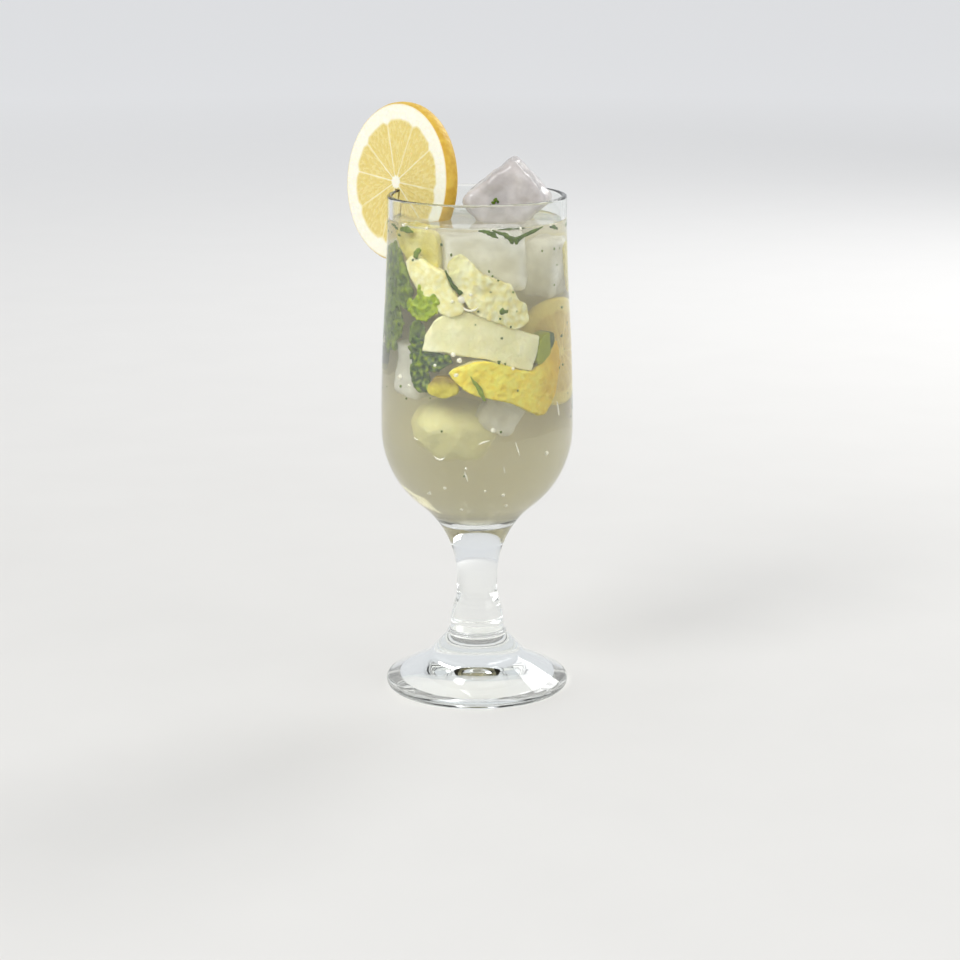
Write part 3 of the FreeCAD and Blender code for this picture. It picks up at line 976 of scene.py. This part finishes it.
def leaf(length, width, teeth, crinkle, shade, seed):
    """A mint leaf in the plane y = 0, from its stalk end at the origin up. shade is its paleness."""
    along, across = 48, 20
    shape = bmesh.new()
    tissue = shape.verts.layers.float.new(ZONE)
    rows = []
    for row in range(along + 1):
        share = row / along
        half = width / 2 * (math.sin(math.pi * min(share, 0.999) ** 0.82) ** 0.75 if row else 0.03)
        tooth = 1 + 0.22 * ((share * teeth) % 1 - 0.5)
        line = []
        for column in range(across + 1):
            side = 2 * column / across - 1
            x = side * half * (tooth if abs(side) > 0.8 else 1.0)
            z = length * (share - 0.05 * side * side)
            vein = abs((share * teeth * 0.5 - abs(side) * 0.8) % 1 - 0.5) * 2
            ridge = max(smoothstep(0.16, 0.0, abs(side)), smoothstep(0.72, 1.0, vein))
            quilt = 0.28 * (1 - vein) * (1 - abs(side))
            fold = crinkle * noise.noise(Vector((x * 0.3, seed * 5.0, z * 0.3)))
            fold += 0.35 * crinkle * noise.noise(Vector((x * 0.8, seed * 3.0, z * 0.8)))
            vertex = shape.verts.new((x, quilt + fold - 0.08 * ridge, z))
            vertex[tissue] = min(shade + 0.18 * ridge, 1.0)
            line.append(vertex)
        rows.append(line)
    for low, high in zip(rows, rows[1:]):
        for column in range(across):
            shape.faces.new((low[column], low[column + 1], high[column + 1], high[column]))
    return evaluated(shape, ("SOLIDIFY", {"thickness": 0.32, "offset": 0.0}))


# each leaf: azimuth, depth and inset of its stalk end, length, width, spin, crinkle, shade
LEAVES = (
    (-82, 41.0, 2.0, 30.0, 16.0, 4, 1.6, 0.22),
    (-100, 46.0, 2.2, 26.0, 15.0, 10, 1.2, 0.3),
    (-150, 30.0, 1.8, 24.0, 14.0, -40, 1.0, 0.35),
    (98, 30.0, 2.2, 22.0, 13.0, 35, 1.0, 0.4),
    (118, 58.0, 2.0, 20.0, 12.0, 150, 1.1, 0.3),
    (182, 34.0, 1.8, 26.0, 15.0, 20, 1.2, 0.5),
    (-170, 60.0, 2.4, 22.0, 14.0, -60, 1.2, 0.25),
)

# leaves pressed to the wall
LOBED_LEAF = (
    (-52, 29), (-50, 25.5), (-44, 26), (-41, 20.5), (-36, 24.5), (-28, 23.5), (-25, 28), (-29, 31), (-37, 33.5),
    (-47, 32),
)
UPPER_LEAF = ((-92, 14), (-78, 8), (-70, 7.5), (-62, 13), (-54, 19), (-49, 27), (-56, 31), (-66, 29), (-84, 32))
LOWER_LEAF = ((-90, 28), (-72, 29), (-62, 30), (-58, 37), (-64, 43), (-72, 47), (-86, 46))
SMALL_LEAF = ((-46, 34), (-38, 35), (-37, 39), (-41, 43), (-49, 43), (-52, 38))

# and their crinkle height and scale, inset and shade
CRUMPLED = (
    (LOBED_LEAF, 0.9, 0.5, 1.1, 0.95),
    (UPPER_LEAF, 1.9, 0.22, 2.7, 0.34),
    (LOWER_LEAF, 1.9, 0.25, 2.7, 0.38),
    (SMALL_LEAF, 0.9, 0.3, 3.4, 0.2),
)
CRUMPLED_COPIES = ((0, 0), (188, 6))

# the three lobes of a crinkled leaf
CRINKLED = (
    ((-47, 41), (-42, 39.5), (-37, 41), (-37, 47), (-38, 52), (-46, 52)),
    ((-44, 46), (-30, 44), (-20, 45), (-15, 47.5), (-23, 50), (-33, 51.5), (-43, 52)),
    ((-47, 51), (-33, 51), (-32, 56), (-37, 59.5), (-45, 57)),
)
CRINKLED_COPIES = ((0, 0), (-95, -22), (140, 14))


def crumpled_mottle_and_painted_light(point, shade):
    """Mottled, with painted highlight where it rises toward the wall and painted shade where it sinks away from
    it.
    """
    mottled = shade + 0.45 * noise.noise(point * 0.4) - 0.15 * point.y
    return min(max(mottled, 0.0), 1.0)


def crinkle_painted_light(point):
    """Painted highlight on the crests that rise toward the wall and painted shade in the hollows of a crinkled
    leaf, over a mottle of paler and darker patches.
    """
    return min(max(0.08 - 0.4 * point.y + 1.3 * noise.noise(point * 0.7), 0.0), 0.9)


def make_leaves():
    """All leaves that are whole enough to show a blade."""
    heap = Heap()
    for number, (azimuth, depth, inset, length, width, spin, crinkle, shade) in enumerate(LEAVES):
        turn = Matrix.Rotation(math.radians(spin), 4, "Y")
        move = Matrix.Translation((math.radians(azimuth) * WRAP, 0.0, -depth)) @ turn
        onto = against_wall(inset)
        heap.add(leaf(length, width, 9, crinkle, shade, number + 1), lambda point: onto(move @ point))
    for number, (outline, height, scale, inset, shade) in enumerate(CRUMPLED):
        for azimuth, lower in CRUMPLED_COPIES:
            bumps = ((height, scale), (0.5, 0.8))
            shape = slab(turned_round(outline, azimuth, lower), 1.0, bumps, number + 31, 2, 3)
            heap.add(shape, against_wall(inset), lambda point: crumpled_mottle_and_painted_light(point, shade))
    for azimuth, lower in CRINKLED_COPIES:
        for number, outline in enumerate(CRINKLED):
            bumps = ((1.3, 0.38), (0.6, 0.95))
            shape = slab(turned_round(outline, azimuth, lower), 1.6, bumps, number + 11, 2, 3)
            heap.add(shape, against_wall(1.45 + 0.2 * number), crinkle_painted_light)
    heap.piece("mint_leaves", mint_leaf(), "mint")


def finer_line(points, widths, parts, torn):
    """The line and its widths with more points, moved a little where its edge is torn."""
    line, spans = [], []
    for index in range((len(points) - 1) * parts + 1):
        start = min(index // parts, len(points) - 2)
        share = index / parts - start
        spot = points[start].lerp(points[start + 1], share)
        ragged = noise.noise(Vector((spot.x * 1.7, spot.y * 1.7, 2.0)))
        line.append(spot + Vector((0.15, 0.3)) * ragged * torn)
        width = widths[start] * (1 - share) + widths[start + 1] * share
        spans.append(width * (1 + 0.6 * torn * noise.noise(Vector((spot.x * 1.1, spot.y * 1.1, 9.0)))))
    return line, spans


def ribbon(line, widths, thickness, torn=1.0):
    """A thin shred along (azimuth, depth) points, with its width at each. torn is how ragged its edge is."""
    shape = bmesh.new()
    points, widths = finer_line([Vector(point) for point in unrolled(line)], widths, 5, torn)
    rings = []
    for index, (point, width) in enumerate(zip(points, widths)):
        ahead = points[min(index + 1, len(points) - 1)] - points[max(index - 1, 0)]
        side = Vector((-ahead.y, ahead.x)).normalized() * width / 2
        row = []
        for across, back in ((-1, 0.0), (-0.5, -0.5), (0.5, -0.5), (1, 0.0), (0.5, 0.5), (-0.5, 0.5)):
            spot = point + side * across
            row.append(shape.verts.new((spot.x, back * thickness, spot.y)))
        rings.append(row)
    stitch(shape, rings)
    shape.faces.new(rings[0])
    shape.faces.new(rings[-1][::-1])
    bmesh.ops.recalc_face_normals(shape, faces=shape.faces)
    return shape


# shreds at the surface and on the fruit: (azimuth, depth) points, widths, inset, shade
SHREDS = (
    (((1, 0.4), (6, 0.9), (10, 1.8), (14, 3.2)), (0.4, 1.5, 1.9, 0.3), 0.45, 0.15),
    (((10, 0.4), (18, 1.9), (25, 4.6)), (0.5, 1.5, 2.6), 0.45, 0.2),
    (((25, 4.6), (31, 3.0), (37, 2.0), (48, 0.4)), (2.6, 1.3, 1.4, 0.4), 0.45, 0.15),
    (((13, 0.3), (25, 0.35), (38, 0.3)), (0.4, 0.8, 0.4), 2.2, 0.15),
    (((55, 0.9), (60, 1.1), (65, 2.2)), (0.5, 1.4, 0.9), 0.45, 0.1),
    (((-60, 2.0), (-52, 1.6), (-46, 2.2)), (1.2, 2.4, 0.8), 0.5, 0.35),
    (((-44, 11.2), (-43, 9.4), (-40, 8.0)), (2.2, 2.5, 1.4), 0.6, 0.35),
    (((-21, 14.8), (-16, 19.6), (-10, 22.8)), (0.6, 1.3, 1.6), 0.7, 0.1),
    (((-4, 51.9), (1, 55.8), (5, 60.6)), (0.3, 1.7, 1.0), 0.4, 0.6),
    (((15, 30.0), (17, 28.7), (20, 29.2)), (0.9, 2.4, 1.1), 0.7, 0.25),
)


# crumbs of mint against the wall: azimuth, depth, width
CRUMBS = (
    (-62, 4.2, 1.3), (-47, 12.1, 1.0), (-24, 5.8, 1.2), (-17, 9.1, 1.1), (8, 14.9, 1.2), (10, 16.5, 0.9),
    (14, 18.1, 0.8), (-70, 26, 1.5), (-63, 30, 1.2), (-72, 33, 1.7), (-60, 36, 1.4), (-68, 40, 1.4),
    (-58, 26, 1.0), (-75, 21, 1.1), (26, 29.4, 1.1), (15, 31.5, 0.9), (1, 28.9, 0.9), (22, 34.6, 0.8),
    (24, 22.5, 0.7), (9, 22.0, 0.8), (16, 38.5, 0.9), (-1, 33.5, 0.6), (14, 47.0, 1.4), (18, 47.6, 1.0),
    (26, 57.5, 0.9), (-30, 60.5, 0.9), (-55, 58, 1.1), (-49, 62, 0.8), (62, 52, 0.9), (70, 46, 0.7),
    (15, 72, 1.0), (-8, 88, 1.1), (-22, 72, 0.8), (48, 9, 0.9), (60, 22, 0.9), (64, 15, 0.7),
)


# crumbs that stick to the front of the floating ice: place from its low corner, width
ICE_CRUMBS = ((11.4, 0.4, 15.4, 2.0), (10.6, 0.4, 14.4, 1.7), (12.3, 0.4, 14.7, 1.2), (9.7, 0.3, 13.2, 1.2))
STREWN_CRUMBS = 70  # round the sides and the back
FLOATING_CRUMBS = 16  # in the surface
SHRED_COPIES = (0, 140, 232)
SHRED_THICK = 0.35


def crumb(width, number, pick):
    """One torn crumb of leaf."""
    size = [width * pick.uniform(0.6, 1.0) for _ in range(3)]
    return roughen(rounded_block(size, min(size) * 0.45, 3), 0.1 + 0.15 * width, 1.3, number)


def make_bits():
    """Shreds and crumbs of torn mint, at the surface and all through the drink."""
    heap = Heap()
    for azimuth in SHRED_COPIES:
        for line, widths, inset, shade in SHREDS:
            shape = ribbon(turned_round(line, azimuth), widths, SHRED_THICK)
            heap.add(shape, against_wall(inset), lambda point: shade)
    pick = random.Random(12)
    crumbs = list(CRUMBS)
    for _ in range(STREWN_CRUMBS):
        crumbs.append((pick.uniform(60, 300), 4.0 + 70.0 * pick.random() ** 2, pick.uniform(0.5, 1.3)))
    spots = [(at_wall(azimuth, depth, 0.5 + width / 2), width) for azimuth, depth, width in crumbs]
    for _ in range(FLOATING_CRUMBS):
        width = pick.uniform(0.6, 1.4)
        floating = at_wall(pick.uniform(0, 360), width / 2, 2.5 + 5.0 * pick.random())
        spots.append((floating, width))
    spots += [(ICE_LOW + Vector(place), width) for *place, width in ICE_CRUMBS]
    for number, (place, width) in enumerate(spots):
        shape = crumb(width, number, pick)
        shade = pick.uniform(0.0, 0.3)
        heap.add(shape, lambda point: point + place, lambda point: shade)
    heap.piece("mint_bits", mint_leaf(), "mint")


STREWN_BUBBLES = 110  # round the sides and the back
BUBBLE_GAP = 0.35  # between a bubble and the wall
STREAK_THICK = 0.8

# beads on the wall: azimuth, depth, radius
BEADS = (
    (-57, 0.4, 0.8), (-56, 54.8, 0.9), (10, 71.3, 0.9), (49, 81.8, 0.8), (20, 95.8, 0.7), (26, 100.5, 0.6),
    (-7, 85.1, 0.5), (6, 93.8, 0.5), (-38, 96.1, 0.6), (-23, 93.1, 0.6), (-14, 101.8, 0.6), (23, 49.5, 0.6),
    (-15, 44.3, 0.9), (-11, 46.3, 1.0), (-10, 24.8, 1.5), (-4, 23.0, 0.7), (-16, 25.5, 0.6), (-13, 51.5, 1.0),
    (-27, 48.5, 0.6), (-47, 57.0, 0.7), (9, 0.6, 0.5), (30, 0.5, 0.5), (57, 0.6, 0.6), (-35, 0.5, 0.5),
)

# bubbles drawn out along the wall, bright with the bubbles' painted reflection and painted glow: (azimuth, depth)
# points and the width in the middle
STREAKS = (
    (((1, 76.2), (4, 75.4), (8, 74.8)), 0.8), (((24, 76.0), (25.5, 78.5), (27, 81.0)), 0.6),
    (((-27, 81.2), (-25.5, 82.0), (-23.5, 82.3), (-21.5, 82.0), (-20, 81.3)), 0.8),
    (((17, 84.5), (17.5, 86.0), (18, 87.0)), 0.4), (((-8, 86.0), (-7, 88.0), (-6, 90.0)), 0.9),
    (((-40, 96.6), (-38, 96.0), (-36, 95.2)), 0.7), (((58, 64.0), (59, 66.5), (60, 69.0)), 0.6),
    (((-9, 27.2), (-7, 28.2), (-4, 28.6), (-1, 28.2), (1, 27.2)), 0.8),
    (((-42, 75.4), (-40, 76.0), (-38, 76.2)), 0.5),
)


def make_bubbles():
    """Air bubbles that cling to the wall, most of them very small."""
    heap = Heap()
    pick = random.Random(4)
    beads = list(BEADS)
    for _ in range(STREWN_BUBBLES):
        beads.append((pick.uniform(80, 280), pick.uniform(2, 105), 0.2 + 0.5 * pick.random() ** 3))
    for azimuth, depth, radius in beads:
        shape = bmesh.new()
        bmesh.ops.create_icosphere(shape, subdivisions=3, radius=radius)
        roughen(shape, 0.08 * radius, 1.0, radius)
        place = at_wall(azimuth, depth, radius + BUBBLE_GAP)
        heap.add(shape, lambda point: point + place)
    for line, width in STREAKS:
        widths = [0.2 * width] + [width] * (len(line) - 2) + [0.2 * width]
        heap.add(ribbon(line, widths, STREAK_THICK, 0.0), against_wall(0.5))
    heap.piece("air_bubbles", air_bubble(), "drink")


# ---- room, lamps and camera

CAMERA_PLACE = (1.1, -882.2, 294.2)
CAMERA_PITCH = 13.76
CAMERA_LENS = 92.1
FLOOR_RADIUS = 12.0  # metres
WORLD_COLOUR = (0.9, 0.92, 0.95)
WORLD_LEVEL = 0.84

# each lamp: name, place in metres, size in metres, watts
LAMPS = (
    ("key_lamp", (-0.9, -0.9, 1.1), 0.6, 9.0),
    ("back_lamp", (0.7, 0.9, 0.9), 0.6, 6.5),
    ("fill_lamp", (1.1, -0.6, 0.6), 0.8, 2.6),
)


def make_camera():
    """The camera at the photo's place, which was fitted to the rim and the foot."""
    data = bpy.data.cameras.new("camera")
    data.lens = CAMERA_LENS
    data.sensor_width = 36.0
    camera = in_scene("camera", data)
    camera.location = Vector(CAMERA_PLACE) * MM
    camera.rotation_euler = (math.radians(90 - CAMERA_PITCH), 0.0, 0.0)
    bpy.context.scene.camera = camera


def add_lamp(name, place, size, power):
    """A soft square lamp that faces the middle of the glass."""
    data = bpy.data.lights.new(name, "AREA")
    data.energy = power
    data.size = size
    lamp = in_scene(name, data)
    lamp.location = place
    aim = Vector((0.0, 0.0, GLASS_HEIGHT * MM / 2)) - lamp.location
    lamp.rotation_euler = aim.to_track_quat("-Z", "Y").to_euler()


def make_room():
    """A pale floor under even light, and three soft lamps."""
    shape = bmesh.new()
    bmesh.ops.create_circle(shape, cap_ends=True, segments=96, radius=FLOOR_RADIUS)
    mesh = bpy.data.meshes.new("floor")
    shape.to_mesh(mesh)
    shape.free()
    mesh.materials.append(pale_floor())
    floor = in_scene("floor", mesh)
    floor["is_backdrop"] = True
    world = bpy.data.worlds.new("studio")
    world.use_nodes = True
    background = world.node_tree.nodes["Background"].inputs
    background["Color"].default_value = (*WORLD_COLOUR, 1.0)
    background["Strength"].default_value = WORLD_LEVEL
    bpy.context.scene.world = world
    for lamp in LAMPS:
        add_lamp(*lamp)


def write_sizes():
    """The CAD model's box and the visual model's box, as lists."""
    boxes = {"cad": cad_bounds, "visual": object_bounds()}
    {name: [list(corner) for corner in box] for name, box in boxes.items()}


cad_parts["glass"].material_slots[0].material = clear_glass()
make_drink()
make_lemon()
make_floating_ice()
make_sunk_ice()
make_wedges()
make_lime()
make_pulp()
make_sunk_slices()
make_leaves()
make_bits()
make_bubbles()
make_camera()
make_room()
bpy.context.scene.view_settings.view_transform = "Standard"
bpy.context.scene.cycles.volume_bounces = 8  # light scatters many times in the milky drink
write_sizes()
